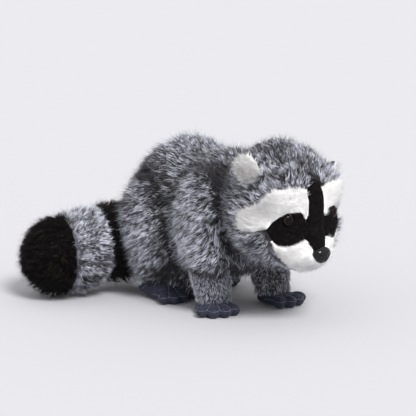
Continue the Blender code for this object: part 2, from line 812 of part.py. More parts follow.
def tail_band(start, stop, marks, seams, spacing=lambda share: share):
    """The stretch of the tail between two distances from its root, with flat ends."""
    bm = bmesh.new()
    rings = []
    for k in range(TAIL_RINGS + 1):
        distance = start + (stop - start) * spacing(k / TAIL_RINGS)
        rings.append(tail_ring(bm, marks, distance, seams))
    for lower, upper in zip(rings, rings[1:]):
        join_rings(bm, lower, upper)
    bm.faces.new(rings[0])
    bm.faces.new(reversed(rings[-1]))
    return mesh_from(bm)


def make_tail(body_rooms):
    marks = tail_marks()
    tip_seam = marks[-1] - TAIL_TIP_LENGTH
    root_seam = tip_seam - TAIL_GREY_LENGTH
    seams = (root_seam, tip_seam)
    half_gap = SEAM_GAP / 2
    root_band = tail_band(0, root_seam - half_gap, marks, seams)
    finish("tail_root_band", cut(root_band, body_rooms), "dark_fur")
    grey_band = tail_band(root_seam + half_gap, tip_seam - half_gap, marks, seams)
    finish("tail_grey_band", grey_band, "grey_fur")
    to_dome = lambda share: math.sin(share * math.pi / 2) * TAIL_TIP_SHARE
    finish("tail_tip", tail_band(tip_seam + half_gap, marks[-1], marks, seams, to_dome), "dark_fur")


def build():
    clear_scene()
    floor = floor_block()
    head = head_form()
    head_room = grown(head, SEAM_GAP)
    make_head(head)
    hind_rooms = []
    front_rooms = []
    for key in SIDES:
        hind_rooms += make_hind_leg(key, floor)
        front_rooms += make_front_leg(key, floor, head_room)
    torso = torso_form()
    finish("torso", cut(torso, [floor, head_room] + hind_rooms + front_rooms), "grey_fur")
    make_tail(hind_rooms + [grown(torso, SEAM_GAP)])


build()
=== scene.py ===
"""Looks of the plush raccoon: pile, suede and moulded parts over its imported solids."""

import math

import bmesh
import bpy
import numpy as np
from mathutils import Matrix, Vector, noise
from mathutils.bvhtree import BVHTree
from mathutils.kdtree import KDTree


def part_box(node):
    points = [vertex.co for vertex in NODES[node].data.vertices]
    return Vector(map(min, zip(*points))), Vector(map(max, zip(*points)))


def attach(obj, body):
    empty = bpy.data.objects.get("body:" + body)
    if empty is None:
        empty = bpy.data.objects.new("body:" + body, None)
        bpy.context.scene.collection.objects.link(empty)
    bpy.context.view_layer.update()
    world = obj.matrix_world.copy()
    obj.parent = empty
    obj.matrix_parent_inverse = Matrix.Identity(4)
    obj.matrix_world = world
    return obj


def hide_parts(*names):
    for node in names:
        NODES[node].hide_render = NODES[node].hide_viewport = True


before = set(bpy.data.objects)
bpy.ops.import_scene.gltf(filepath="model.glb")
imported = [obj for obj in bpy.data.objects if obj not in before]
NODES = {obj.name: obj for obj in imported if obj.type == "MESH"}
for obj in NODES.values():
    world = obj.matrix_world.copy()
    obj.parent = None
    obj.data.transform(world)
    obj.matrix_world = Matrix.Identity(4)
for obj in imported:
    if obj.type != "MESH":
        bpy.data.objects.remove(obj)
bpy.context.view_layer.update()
SIDES = {"right": -1.0, "left": 1.0}
SEED = 20261130
noise.seed_set(SEED)

# Studio
AZIMUTH = math.radians(-41)
ELEVATION = math.radians(12)
CAMERA_DISTANCE = 2.0
CAMERA_AIM = Vector((-0.025, -0.036, 0.08))
AIM_RIGHT = 0.013
AIM_UP = 0.017
FOCAL_PIXELS = 2000
FRAME_PIXELS = 416
SENSOR = 36.0
VIEW_END = 50
LAMP_STRENGTH = 3.05
LAMP_SPREAD = math.radians(20)
LAMP_AZIMUTH = math.radians(-14)
LAMP_ELEVATION = math.radians(47)
SKY_STRENGTH = 0.82
PAPER = (0.825, 0.82, 0.86)
FLOOR_PAPER = (0.545, 0.541, 0.569)
FLOOR_HALF = 9

# Places that the source gives too
PANEL_TURN = math.radians(41)
EYE_RADIUS = 0.0056
EYE_DOME = 0.0036
TOE_FAN = math.radians(30)
SIDE_SEAM = 0.0078
FOOT_BALL = 0.013

# Each paw and foot: x, y and its turn in degrees
PAWS = {"right": (-0.036, -0.078, -28), "left": (0.036, -0.092, 8)}
FEET = {"right": (-0.037, 0.004, -6), "left": (0.037, 0.018, 6)}

# Each cover: cell of its cloth's mesh, depth of the cloth under the pile, locks per square millimetre
CLOTH = {
    "torso": (0.0034, 0.0034, 0.49),
    "head": (0.0026, 0.0032, 0.51),
    "haunch_right": (0.0030, 0.0034, 0.58),
    "haunch_left": (0.0030, 0.0034, 0.50),
    "upper_arm_right": (0.0028, 0.0034, 0.58),
    "upper_arm_left": (0.0028, 0.0034, 0.50),
    "forearm_right": (0.0022, 0.0022, 0.90),
    "forearm_left": (0.0022, 0.0022, 0.90),
    "hind_cuff_right": (0.0016, 0.0014, 2.6),
    "hind_cuff_left": (0.0016, 0.0014, 1.5),
    "tail_root_band": (0.0030, 0.0034, 0.33),
    "tail_grey_band": (0.0030, 0.0034, 0.66),
    "tail_tip": (0.0030, 0.0034, 0.50),
    "forehead_stripe": (0.0014, 0.0016, 1.1),
    "muzzle": (0.0017, 0.0018, 1.05),
    "brow_patch_right": (0.0017, 0.0018, 1.1),
    "brow_patch_left": (0.0017, 0.0018, 1.1),
    "eye_patch_right": (0.0014, 0.0016, 1.1),
    "eye_patch_left": (0.0014, 0.0016, 1.1),
    "ear_front_right": (0.0013, 0.0016, 1.4),
    "ear_front_left": (0.0013, 0.0016, 1.4),
    "ear_back_right": (0.0013, 0.0014, 1.0),
    "ear_back_left": (0.0013, 0.0014, 1.0),
}

# Cloth under the pile
CONTACT = 0.0010
SEAM_DEPTH = 0.0012
SEAM_REACH = 0.010
# Painted shade in creases: pile within this reach of another part is darker
CREASE_SHADE_REACH = 0.014
UNDERSIDE_TOP = 0.06
UNDERSIDE_SHARE = 0.25
CLOTH_ALONG = 0.22
CLOTH_LIFT = 0.8

# Fibre locks: each is a spike that bends part of the way up, with LOCK_TAPER of its width left there
PALETTE_UV = "OFBake"
LOCK_BEND = 0.58
LOCK_TAPER = 0.42
LOCK_ROOT = 0.3
LOCK_SUNK = 0.0006
FLOOR_CLEAR = 0.0004
LENGTH_RANGE = (0.7, 1.15)
WIDTH_RANGE = (0.7, 1.3)
GATHER_RANGE = (0.6, 1.1)
COMB_SPREAD = 0.22
LEAN_SPREAD = 9
LEAN_AT_SEAM = 0.30
LEAN_HALFWAY = 0.45
WISP_RISE = 16
STREAK_SIZE = 0.004
PATCH_SIZE = 0.028
PALEST = 0.98
DARKEST = 0.02

# Share of a lock's length from root to tip where its colours blend
ROOT_BLEND = (0.04, 0.42)
TIP_BLEND = (0.37, 0.76)

# Bare spots of the pile at the eyes and the nose, and painted shade at the neck (with a dark patch of pile
# there) and in the ears' fold
NOSE_BARE = 0.0080
NECK_SHADE = Vector((0.036, -0.098, 0.143))
NECK_REACH = 0.018
FACE_FROM_NOSE = Vector((0, 0.025, 0.022))
# Tone of each forearm's pile: the far, left one is darker as painted shade
FOREARM_TONE_AND_SHADE = {"right": 0.96, "left": 0.50}
# Line of the painted shade of the ear's fold, as offsets across and up from the ear's middle
EAR_FOLD = ((-0.006, 0.001), (-0.004, -0.001), (-0.002, -0.003), (0, -0.006), (0.002, -0.009))
EAR_FOLD_SHADE_REACH = 0.0024
EAR_FOOT_DROP = 0.018

# Suede seams
SUEDE_CELL = 0.0012
SUEDE_ROUNDS = 3
PAW_REACH = 0.026
PAW_SEAM_END = 0.010
FOOT_SEAM_END = -0.012
PAST_TOES = 0.004
ABOVE_TOES = 0.04
BESIDE_PAW = 0.06
SOLE = 0.002
STITCH_PITCH = 0.0021
STITCH_LENGTH = 0.0014
STITCH_THICK = 0.00026
STITCH_PROUD = 0.0001
TOE_SEAM_SPOTS = 60
SIDE_SEAM_SPOTS = 260
SIDE_SEAM_TURN = 100

# Nose pad, in shares of its half width, half depth and half height
NOSE_HALF = Vector((0.0104, 0.0074, 0.0093))
NOSE_AXIS = Vector((0, -1, 0.12)).normalized()
NOSE_FLARE = 0.10
NOSE_TAPER = 0.34
NOSE_TOP = 0.80
NOSTRIL_OUT = 0.46
NOSTRIL_SLANT = 0.22
NOSTRIL_SLANT_FROM = 0.12
NOSTRIL_LOW = 0.08
NOSTRIL_FLAT = 1.5
NOSTRIL_WIDE = 0.20
NOSTRIL_DEEP = 0.42
GROOVE_TOP = -0.05
GROOVE_FADE = 0.2
GROOVE_WIDE = 0.10
GROOVE_DEEP = 0.16
DIP_WIDE = 0.16
DIP_DEEP = 0.05


def link(name, data):
    obj = bpy.data.objects.new(name, data)
    bpy.context.scene.collection.objects.link(obj)
    return obj


def direction(azimuth, elevation):
    """The way out from the toy, at an azimuth off its front and an elevation."""
    return Vector((
        math.sin(azimuth) * math.cos(elevation),
        -math.cos(azimuth) * math.cos(elevation),
        math.sin(elevation),
    ))


# Camera, lamp, sky and floor
def studio_camera():
    back = direction(AZIMUTH, ELEVATION)
    right = Vector((math.cos(AZIMUTH), math.sin(AZIMUTH), 0))
    up = back.cross(right)
    data = bpy.data.cameras.new("studio_camera")
    data.sensor_width = SENSOR
    data.lens = FOCAL_PIXELS / FRAME_PIXELS * SENSOR
    data.clip_end = VIEW_END
    camera = link("studio_camera", data)
    place = Matrix((right, up, back)).transposed().to_4x4()
    place.translation = CAMERA_AIM + right * AIM_RIGHT + up * AIM_UP + back * CAMERA_DISTANCE
    camera.matrix_world = place
    bpy.context.scene.camera = camera


def studio_lamp():
    """A soft sun."""
    data = bpy.data.lights.new("key_lamp", "SUN")
    data.energy = LAMP_STRENGTH
    data.angle = LAMP_SPREAD
    lamp = link("key_lamp", data)
    lamp.rotation_euler = direction(LAMP_AZIMUTH, LAMP_ELEVATION).to_track_quat("Z", "Y").to_euler()


def studio_world():
    """White sky that lights evenly, seen as the pale paper behind the toy."""
    world = bpy.data.worlds.new("studio_sky")
    world.use_nodes = True
    tree = world.node_tree
    tree.nodes.clear()
    path = tree.nodes.new("ShaderNodeLightPath")
    light = tree.nodes.new("ShaderNodeBackground")
    light.inputs["Color"].default_value = (1, 1, 1, 1)
    light.inputs["Strength"].default_value = SKY_STRENGTH
    paper = tree.nodes.new("ShaderNodeBackground")
    paper.inputs["Color"].default_value = (*PAPER, 1)
    mix = tree.nodes.new("ShaderNodeMixShader")
    out = tree.nodes.new("ShaderNodeOutputWorld")
    seen = path.outputs["Is Camera Ray"]
    for ray in ("Is Glossy Ray", "Is Transmission Ray"):
        either = tree.nodes.new("ShaderNodeMath")
        either.operation = "MAXIMUM"
        tree.links.new(seen, either.inputs[0])
        tree.links.new(path.outputs[ray], either.inputs[1])
        seen = either.outputs[0]
    tree.links.new(seen, mix.inputs[0])
    tree.links.new(light.outputs[0], mix.inputs[1])
    tree.links.new(paper.outputs[0], mix.inputs[2])
    tree.links.new(mix.outputs[0], out.inputs["Surface"])
    bpy.context.scene.world = world


def studio_floor():
    bm = bmesh.new()
    bmesh.ops.create_grid(bm, x_segments=1, y_segments=1, size=FLOOR_HALF)
    mesh = bpy.data.meshes.new("floor")
    bm.to_mesh(mesh)
    bm.free()
    floor = link("floor", mesh)
    paper, _, shader = principled("floor_paper")
    shader.inputs["Base Color"].default_value = (*FLOOR_PAPER, 1)
    shader.inputs["Roughness"].default_value = 0.9
    shader.inputs["Specular IOR Level"].default_value = 0.1
    mesh.materials.append(paper)


# Materials
def node(tree, kind, **values):
    made = tree.nodes.new(kind)
    for key, value in values.items():
        setattr(made, key, value)
    return made


def pile_group():
    """Colour along a fibre from its palette UV: v runs from root to tip, u from dark to pale."""
    tree = bpy.data.node_groups.new("Pile colour", "ShaderNodeTree")
    for name in ("Root", "Middle", "Dark tip", "Pale tip"):
        tree.interface.new_socket(name, in_out="INPUT", socket_type="NodeSocketColor")
    tree.interface.new_socket("Color", in_out="OUTPUT", socket_type="NodeSocketColor")
    given = tree.nodes.new("NodeGroupInput")
    out = tree.nodes.new("NodeGroupOutput")
    uv = node(tree, "ShaderNodeUVMap", uv_map=PALETTE_UV)
    split = tree.nodes.new("ShaderNodeSeparateXYZ")
    tree.links.new(uv.outputs[0], split.inputs[0])

    def band(low, high, source):
        made = node(tree, "ShaderNodeMapRange", interpolation_type="SMOOTHSTEP")
        made.inputs["From Min"].default_value = low
        made.inputs["From Max"].default_value = high
        tree.links.new(source, made.inputs["Value"])
        return made.outputs["Result"]

    def mix(factor, first, second):
        made = node(tree, "ShaderNodeMix", data_type="RGBA")
        tree.links.new(factor, made.inputs[0])
        tree.links.new(first, made.inputs[6])
        tree.links.new(second, made.inputs[7])
        return made.outputs[2]

    along = split.outputs["Y"]
    tip = mix(split.outputs["X"], given.outputs["Dark tip"], given.outputs["Pale tip"])
    low = mix(band(*ROOT_BLEND, along), given.outputs["Root"], given.outputs["Middle"])
    tree.links.new(mix(band(*TIP_BLEND, along), low, tip), out.inputs["Color"])
    return tree


def principled(name):
    made = bpy.data.materials.new(name)
    made.use_nodes = True
    return made, made.node_tree, made.node_tree.nodes["Principled BSDF"]


def pile_material(name, group, root, middle, dark_tip, pale_tip, roughness=0.75, sheen=0.15, specular=0.3):
    made, tree, shader = principled(name)
    colour = node(tree, "ShaderNodeGroup", node_tree=group)
    for key, value in (("Root", root), ("Middle", middle), ("Dark tip", dark_tip), ("Pale tip", pale_tip)):
        colour.inputs[key].default_value = (*value, 1)
    tree.links.new(colour.outputs["Color"], shader.inputs["Base Color"])
    shader.inputs["Roughness"].default_value = roughness
    shader.inputs["Specular IOR Level"].default_value = specular
    shader.inputs["Sheen Weight"].default_value = sheen
    shader.inputs["Sheen Roughness"].default_value = 0.5
    return made


# Cloth forms
def fine_form(name, cell, rounds):
    """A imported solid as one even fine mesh."""
    bm = bmesh.new()
    bm.from_mesh(NODES[name].data)
    bmesh.ops.remove_doubles(bm, verts=bm.verts, dist=0.000002)
    mesh = bpy.data.meshes.new("guide")
    bm.to_mesh(mesh)
    bm.free()
    guide = link("guide", mesh)
    remesh = guide.modifiers.new("Even", "REMESH")
    remesh.mode = "VOXEL"
    remesh.voxel_size = cell
    soften = guide.modifiers.new("Soften", "SMOOTH")
    soften.factor = 0.5
    soften.iterations = rounds
    guide.modifiers.new("Split", "TRIANGULATE")
    graph = bpy.context.evaluated_depsgraph_get()
    fine = bpy.data.meshes.new_from_object(guide.evaluated_get(graph))
    bpy.data.objects.remove(guide, do_unlink=True)
    return fine


def arrays(mesh):
    points = np.empty(len(mesh.vertices) * 3, np.float32)
    mesh.vertices.foreach_get("co", points)
    normals = np.empty(len(mesh.vertices) * 3, np.float32)
    mesh.vertex_normals.foreach_get("vector", normals)
    corners = np.empty(len(mesh.loops), np.int32)
    mesh.loops.foreach_get("vertex_index", corners)
    return points.reshape(-1, 3).astype(float), normals.reshape(-1, 3).astype(float), corners.reshape(-1, 3)


def tree_of(points, faces):
    return BVHTree.FromPolygons(points.tolist(), faces.tolist())


def neighbours_tree(name):
    """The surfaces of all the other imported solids."""
    points, faces, start = [], [], 0
    for other, obj in NODES.items():
        if other != name:
            points += [v.co for v in obj.data.vertices]
            faces += [[k + start for k in p.vertices] for p in obj.data.polygons]
            start = len(points)
    return BVHTree.FromPolygons(points, faces)


def skin(name, cell, depth, rounds):
    """The cloth under the pile: the solid's open surface, set in by the pile's depth.

    Near a seam the cloth comes up, so that the pile closes over it.
    """
    mesh = fine_form(name, cell, rounds)
    points, normals, faces = arrays(mesh)
    others = neighbours_tree(name)
    away = np.array([others.find_nearest(p)[3] for p in points.tolist()])
    open_face = away[faces].mean(axis=1) > CONTACT
    shell = tree_of(points, faces[open_face])
    rise = np.clip(away / SEAM_REACH, 0, 1)
    depths = SEAM_DEPTH + (depth - SEAM_DEPTH) * rise * rise * (3 - 2 * rise)
    moved = points.copy()
    for i, point in enumerate(points.tolist()):
        _, facing, _, far = shell.find_nearest(point)
        if far < depths[i]:
            inward = normals[i] if far < 1e-5 else np.array(facing)
            moved[i] -= inward * (depths[i] - far)
    mesh.vertices.foreach_set("co", moved.ravel().astype(np.float32))
    mesh.update()
    return arrays(mesh) + (open_face, others)


# Pile
def lock_shape(bends):
    """One fibre lock, a slim closed spike along Z with three sides."""
    bm = bmesh.new()
    bmesh.ops.create_cone(
        bm, cap_ends=True, cap_tris=False, segments=3, radius1=0.5, radius2=0, depth=1,
        matrix=Matrix.Translation((0, 0, 0.5)),
    )
    bmesh.ops.remove_doubles(bm, verts=bm.verts, dist=0.0001)
    for height in bends:
        geometry = bm.verts[:] + bm.edges[:] + bm.faces[:]
        bmesh.ops.bisect_plane(bm, geom=geometry, plane_co=(0, 0, height), plane_no=(0, 0, 1))
    bmesh.ops.triangulate(bm, faces=bm.faces)
    bmesh.ops.recalc_face_normals(bm, faces=bm.faces)
    bm.verts.index_update()
    points = np.array([v.co for v in bm.verts])
    faces = np.array([[v.index for v in face.verts] for face in bm.faces])
    bm.free()
    return points, faces


LONG_LOCK = lock_shape((LOCK_BEND,))
SHORT_LOCK = lock_shape(())


def unit(vectors):
    return vectors / np.maximum(np.linalg.norm(vectors, axis=1, keepdims=True), 1e-9)


def tangent(vectors, normals):
    return vectors - normals * np.sum(vectors * normals, axis=1, keepdims=True)


def swirl(points, size):
    return np.array([noise.noise_vector(Vector(p) / size) for p in points.tolist()])


def drift(points, size):
    return np.array([noise.noise(Vector(p) / size) for p in points.tolist()])


def face_areas(points, faces):
    corners = points[faces]
    sides = corners[:, 1] - corners[:, 0], corners[:, 2] - corners[:, 0]
    return np.linalg.norm(np.cross(*sides), axis=1) / 2


def sample(rng, points, normals, faces, count, weight):
    """Random spots on the weighted faces: their places and normals."""
    share = face_areas(points, faces) * weight
    pick = rng.choice(len(faces), count, p=share / share.sum())
    a, b = rng.random((2, count))
    flip = a + b > 1
    a[flip], b[flip] = 1 - a[flip], 1 - b[flip]
    mix = np.stack([1 - a - b, a, b], axis=1)[:, :, None]
    return (points[faces[pick]] * mix).sum(axis=1), unit((normals[faces[pick]] * mix).sum(axis=1))


def flow_field(flow, roots):
    """Where the pile is combed to: away from a point, or along a direction."""
    kind, value = flow
    value = np.array(value, float)
    if kind == "away":
        return unit(roots - value)
    return np.tile(value / np.linalg.norm(value), (len(roots), 1))


def locks(rng, shape, roots, normals, flow, look):
    """Fibre locks on their roots: each point's place, palette (u, v) and shading normal."""
    count = len(roots)
    length = look["length"] * rng.uniform(*LENGTH_RANGE, count) * look["length_at"](roots)
    comb = flow_field(flow, roots) + swirl(roots, look["swirl_size"]) * look["swirl"]
    comb = unit(tangent(comb + rng.normal(0, COMB_SPREAD, (count, 3)), normals))
    lean = np.radians(look["lean"] * look["lean_share"] + rng.normal(0, LEAN_SPREAD, count))[:, None]
    heading = comb * np.sin(lean) + normals * np.cos(lean)
    tips = roots + heading * length[:, None]
    tips[:, 2] -= look["droop"] * length

    clumps = max(count // look["clump"], 1)
    tree = KDTree(clumps)
    for i in range(clumps):
        tree.insert(roots[i], i)
    tree.balance()
    home = np.array([tree.find(p)[1] for p in roots.tolist()])
    pull = (look["gather"] * rng.uniform(*GATHER_RANGE, count))[:, None]
    tips += (tips[home] - tips) * pull

    rise = normals * np.cos(lean * LEAN_HALFWAY) + comb * np.sin(lean * LEAN_HALFWAY)
    middle = roots + rise * length[:, None] * 0.5
    tone = look["tone"] + look["tone_at"](roots, normals)
    tone += drift(roots, STREAK_SIZE) * look["streaky"] + drift(roots, PATCH_SIZE) * look["patchy"]
    tone += (rng.random(clumps)[home] - 0.5) * look["clump_tone"] + rng.normal(0, look["fleck"], count)
    tone = np.clip(look["tone"] + (tone - look["tone"]) * look["contrast"], DARKEST, PALEST)

    height = shape[:, 2][None, :, None]
    spine = (1 - height) ** 2 * roots[:, None] + 2 * height * (1 - height) * middle[:, None]
    spine = spine + height**2 * tips[:, None]
    across = unit(np.cross(tips - roots, normals))
    upward = unit(np.cross(tips - roots, across))
    width = (look["width"] * rng.uniform(*WIDTH_RANGE, count))[:, None, None]
    swell = np.where(shape[:, 2] > LOCK_ROOT, look["belly"] / LOCK_TAPER, 1.0)[None, :, None]
    side = across[:, None] * shape[None, :, :1] + upward[:, None] * shape[None, :, 1:2]
    body = spine + side * width * swell
    body[:, :, 2] = np.maximum(body[:, :, 2], FLOOR_CLEAR)
    lift = np.repeat(look["lift_at"](roots), len(shape))
    along = np.tile(shape[:, 2] * 0.98 + 0.01, count)
    uv = np.stack([np.repeat(tone, len(shape)), lift + (1 - lift) * along], axis=1)
    soft = look["soft_light"]
    turned = unit(side.reshape(-1, 3))
    shade = unit(turned * (1 - soft) + np.repeat(normals, len(shape), axis=0) * soft)
    return body, uv.reshape(count, -1, 2), shade.reshape(count, -1, 3)


def piece(name, points, faces, uv, shade, finish):
    """A finished piece with its palette UV and its soft shading normals."""
    mesh = bpy.data.meshes.new(name)
    mesh.from_pydata(points, [], faces)
    layer = mesh.uv_layers.new(name=PALETTE_UV)
    layer.data.foreach_set("uv", uv[faces.ravel()].astype(np.float32).ravel())
    mesh.materials.append(finish)
    mesh.shade_smooth()
    mesh.normals_split_custom_set_from_vertices(shade)
    return link(name, mesh)


def same_length(roots):
    return np.ones(len(roots))


def same_tone(roots, normals):
    return np.zeros(len(roots))


def no_lift(roots):
    return np.zeros(len(roots))


# Long grey pile: lengths in metres, lean in degrees, tones from 0 dark to 1 pale
BASE_LOOK = {
    "length": 0.0125, "lean": 46, "width": 0.00050, "belly": 0.95, "clump": 8, "gather": 0.66, "droop": 0.08,
    "swirl": 0.55, "swirl_size": 0.012, "tone": 0.67, "streaky": 0.60, "patchy": 0.25, "clump_tone": 0.60,
    "fleck": 0.22, "length_at": same_length, "tone_at": same_tone, "lift_at": no_lift, "crease_shade": 0.0,
    "seam_stand": 0.007, "wisps": 0.40, "contrast": 1.9, "soft_light": 0.35, "skin_tone": 0.2,
    "rounds": 2,
}
TAIL = {"lean": 38, "length": 0.0108}
BLACK = {"tone": 0.22, "contrast": 1.8, "gather": 0.8, "clump": 10}
SHORT = {
    "wisps": 0.0, "seam_stand": 0.002, "clump": 5, "gather": 0.4, "droop": 0.02, "swirl_size": 0.008,
    "clump_tone": 0.3, "streaky": 0.3, "fleck": 0.12,
}
WHITE = SHORT | {
    "tone": 0.92, "soft_light": 0.70, "skin_tone": 0.95, "contrast": 1.0, "lean": 50, "swirl": 0.8,
    "seam_stand": 0.0005, "fleck": 0.18, "clump_tone": 0.35, "streaky": 0.3, "patchy": 0.1, "wisps": 0.5,
    "rounds": 9, "width": 0.00045,
}
BARE = []


def layers(look):
    """Lock shape, share of the density, and share of the look's length and width, of each layer."""
    return (
        (LONG_LOCK, 0.35, 1.0, 1.0),
        (SHORT_LOCK, 0.9, 0.95, 1.0),
        (SHORT_LOCK, 1.0, 0.62, 1.0),
        (SHORT_LOCK, look["wisps"], 1.30, 0.6),
    )


def pile_share(points, normals, faces):
    """How much of the density each face takes: less on the underside."""
    centre = points[faces].mean(axis=1)
    facing = normals[faces].mean(axis=1)
    hidden = (facing[:, 2] < -0.4) & (centre[:, 2] < UNDERSIDE_TOP)
    return np.where(hidden, UNDERSIDE_SHARE, 1.0)


def furry(name, finish, slot, flow, **changes):
    """Replaces a stuffed solid with its cloth and pile."""
    rng = np.random.default_rng(SEED + sum(map(ord, name)))
    look = BASE_LOOK | changes
    cell, depth, density = CLOTH[name]
    points, normals, faces, open_face, others = skin(name, cell, depth, look["rounds"])
    weight = pile_share(points, normals, faces) * open_face
    open_area = (face_areas(points, faces) * weight).sum() * 1e6
    lift = look["lift_at"](points)
    cloth_uv = np.stack([look["skin_tone"] + lift, CLOTH_ALONG + CLOTH_LIFT * lift], axis=1)
    parts = [(points, faces, cloth_uv, normals)]
    start = len(points)
    for (shape, corners), share, size, slim in layers(look):
        count = int(open_area * density * share)
        if count == 0:
            continue
        roots, outward = sample(rng, points, normals, faces, count, weight)
        far = np.array([others.find_nearest(p)[3] for p in roots.tolist()])
        # Painted shade: pile near another part is darker, as in a crease
        shadow = look["crease_shade"] * (1 - np.clip(far / CREASE_SHADE_REACH, 0, 1))
        upright = np.clip(far / look["seam_stand"], 0, 1)
        layer_look = look | {
            "length": look["length"] * size,
            "width": look["width"] * slim,
            "lean_share": LEAN_AT_SEAM + (1 - LEAN_AT_SEAM) * upright,
            "tone_at": lambda spots, out: look["tone_at"](spots, out) - shadow,
        }
        if size > 1:
            layer_look |= {"gather": 0.0, "lean": look["lean"] - WISP_RISE}
        body, uv, shade = locks(rng, shape, roots - outward * LOCK_SUNK, outward, flow, layer_look)
        keep = np.ones(count, bool)
        for spot, radius in BARE:
            keep &= np.linalg.norm(body - np.array(spot), axis=2).min(axis=1) >= radius
        first = start + np.arange(keep.sum()) * len(shape)
        parts.append((
            body[keep].reshape(-1, 3),
            (corners[None] + first[:, None, None]).reshape(-1, 3),
            uv[keep].reshape(-1, 2),
            shade[keep].reshape(-1, 3),
        ))
        start += keep.sum() * len(shape)
    made = piece(name + "_pile", *map(np.concatenate, zip(*parts)), finish)
    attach(made, "root")
    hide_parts(name)


def middle_of(name):
    low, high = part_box(name)
    return (low + high) / 2


# Suede, thread and moulded parts
def grain_group():
    """Fine random grain over the piece: a mask and a bumped normal."""
    tree = bpy.data.node_groups.new("Grain", "ShaderNodeTree")
    for name, default in (("Scale", 600.0), ("Depth", 0.0002), ("Bump", 0.5)):
        socket = tree.interface.new_socket(name, in_out="INPUT", socket_type="NodeSocketFloat")
        socket.default_value = default
    tree.interface.new_socket("Mask", in_out="OUTPUT", socket_type="NodeSocketFloat")
    tree.interface.new_socket("Normal", in_out="OUTPUT", socket_type="NodeSocketVector")
    given = tree.nodes.new("NodeGroupInput")
    out = tree.nodes.new("NodeGroupOutput")
    place = tree.nodes.new("ShaderNodeTexCoord")
    grain = node(tree, "ShaderNodeTexNoise")
    grain.inputs["Detail"].default_value = 4
    bump = tree.nodes.new("ShaderNodeBump")
    tree.links.new(place.outputs["Object"], grain.inputs["Vector"])
    tree.links.new(given.outputs["Scale"], grain.inputs["Scale"])
    tree.links.new(grain.outputs["Fac"], bump.inputs["Height"])
    tree.links.new(given.outputs["Depth"], bump.inputs["Distance"])
    tree.links.new(given.outputs["Bump"], bump.inputs["Strength"])
    tree.links.new(grain.outputs["Fac"], out.inputs["Mask"])
    tree.links.new(bump.outputs["Normal"], out.inputs["Normal"])
    return tree


def grained(name, group, dark, pale, scale, depth, bump, roughness):
    """A material whose colour and surface follow the grain."""
    made, tree, shader = principled(name)
    shader.inputs["Roughness"].default_value = roughness
    grain = node(tree, "ShaderNodeGroup", node_tree=group)
    grain.inputs["Scale"].default_value = scale
    grain.inputs["Depth"].default_value = depth
    grain.inputs["Bump"].default_value = bump
    ramp = tree.nodes.new("ShaderNodeValToRGB")
    ramp.color_ramp.elements[0].position = 0.35
    ramp.color_ramp.elements[0].color = (*dark, 1)
    ramp.color_ramp.elements[1].position = 0.65
    ramp.color_ramp.elements[1].color = (*pale, 1)
    tree.links.new(grain.outputs["Mask"], ramp.inputs[0])
    tree.links.new(ramp.outputs[0], shader.inputs["Base Color"])
    tree.links.new(grain.outputs["Normal"], shader.inputs["Normal"])
    return made, shader


def eye_material():
    """Black dome with a thin brown iris ring, by the distance from its middle in the palette UV."""
    made, tree, shader = principled("Eye plastic")
    uv = node(tree, "ShaderNodeUVMap", uv_map=PALETTE_UV)
    split = tree.nodes.new("ShaderNodeSeparateXYZ")
    ramp = tree.nodes.new("ShaderNodeValToRGB")
    black, brown = (0.003, 0.002, 0.002, 1), (0.022, 0.011, 0.007, 1)
    ramp.color_ramp.elements[0].color = black
    ramp.color_ramp.elements[0].position = 0.60
    ramp.color_ramp.elements[1].color = black
    ramp.color_ramp.elements[1].position = 0.90
    ring = ramp.color_ramp.elements.new(0.76)
    ring.color = brown
    tree.links.new(uv.outputs[0], split.inputs[0])
    tree.links.new(split.outputs["X"], ramp.inputs[0])
    tree.links.new(ramp.outputs[0], shader.inputs["Base Color"])
    shader.inputs["Roughness"].default_value = 0.12
    shader.inputs["Specular IOR Level"].default_value = 0.03
    shader.inputs["Coat Weight"].default_value = 0.20
    shader.inputs["Coat Roughness"].default_value = 0.02
    return made


def finished(name, bm, finish):
    """The piece of a bmesh, its normals outward."""
    bmesh.ops.recalc_face_normals(bm, faces=bm.faces)
    mesh = bpy.data.meshes.new(name)
    bm.to_mesh(mesh)
    bm.free()
    mesh.materials.append(finish)
    mesh.shade_smooth()
    return link(name, mesh)


def button_front(name, axis):
    """The foremost point of a moulded button along its axis."""
    points = [v.co for v in NODES[name].data.vertices]
    reach = max(p.dot(axis) for p in points)
    front = [p for p in points if p.dot(axis) > reach - 0.0002]
    return sum(front, Vector()) / len(front)


def make_eye(key, side, finish):
    outward = Vector((side * math.sin(PANEL_TURN), -math.cos(PANEL_TURN), 0))
    axis = (outward + Vector((0, -1, 0))).normalized()
    front = button_front(f"eye_{key}", axis)
    bm = bmesh.new()
    bmesh.ops.create_uvsphere(bm, u_segments=40, v_segments=24, radius=1)
    whole = bm.verts[:] + bm.edges[:] + bm.faces[:]
    bmesh.ops.bisect_plane(bm, geom=whole, plane_co=(0, 0, -0.3), plane_no=(0, 0, -1), clear_outer=True)
    rim = [e for e in bm.edges if e.is_boundary]
    bmesh.ops.edgeloop_fill(bm, edges=rim)
    layer = bm.loops.layers.uv.new(PALETTE_UV)
    for face in bm.faces:
        for loop in face.loops:
            x, y, z = loop.vert.co
            out = math.hypot(x, y) if z > 0 else 1.0
            loop[layer].uv = (out * 0.96 + 0.02, 0.5)
    place = axis.to_track_quat("Z", "Y").to_matrix().to_4x4()
    place.translation = front - axis * EYE_DOME
    size = Matrix.Diagonal((EYE_RADIUS, EYE_RADIUS, EYE_DOME, 1))
    bmesh.ops.transform(bm, matrix=place @ size, verts=bm.verts)
    made = finished(f"eye_{key}_dome", bm, finish)
    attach(made, "root")
    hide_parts(f"eye_{key}")


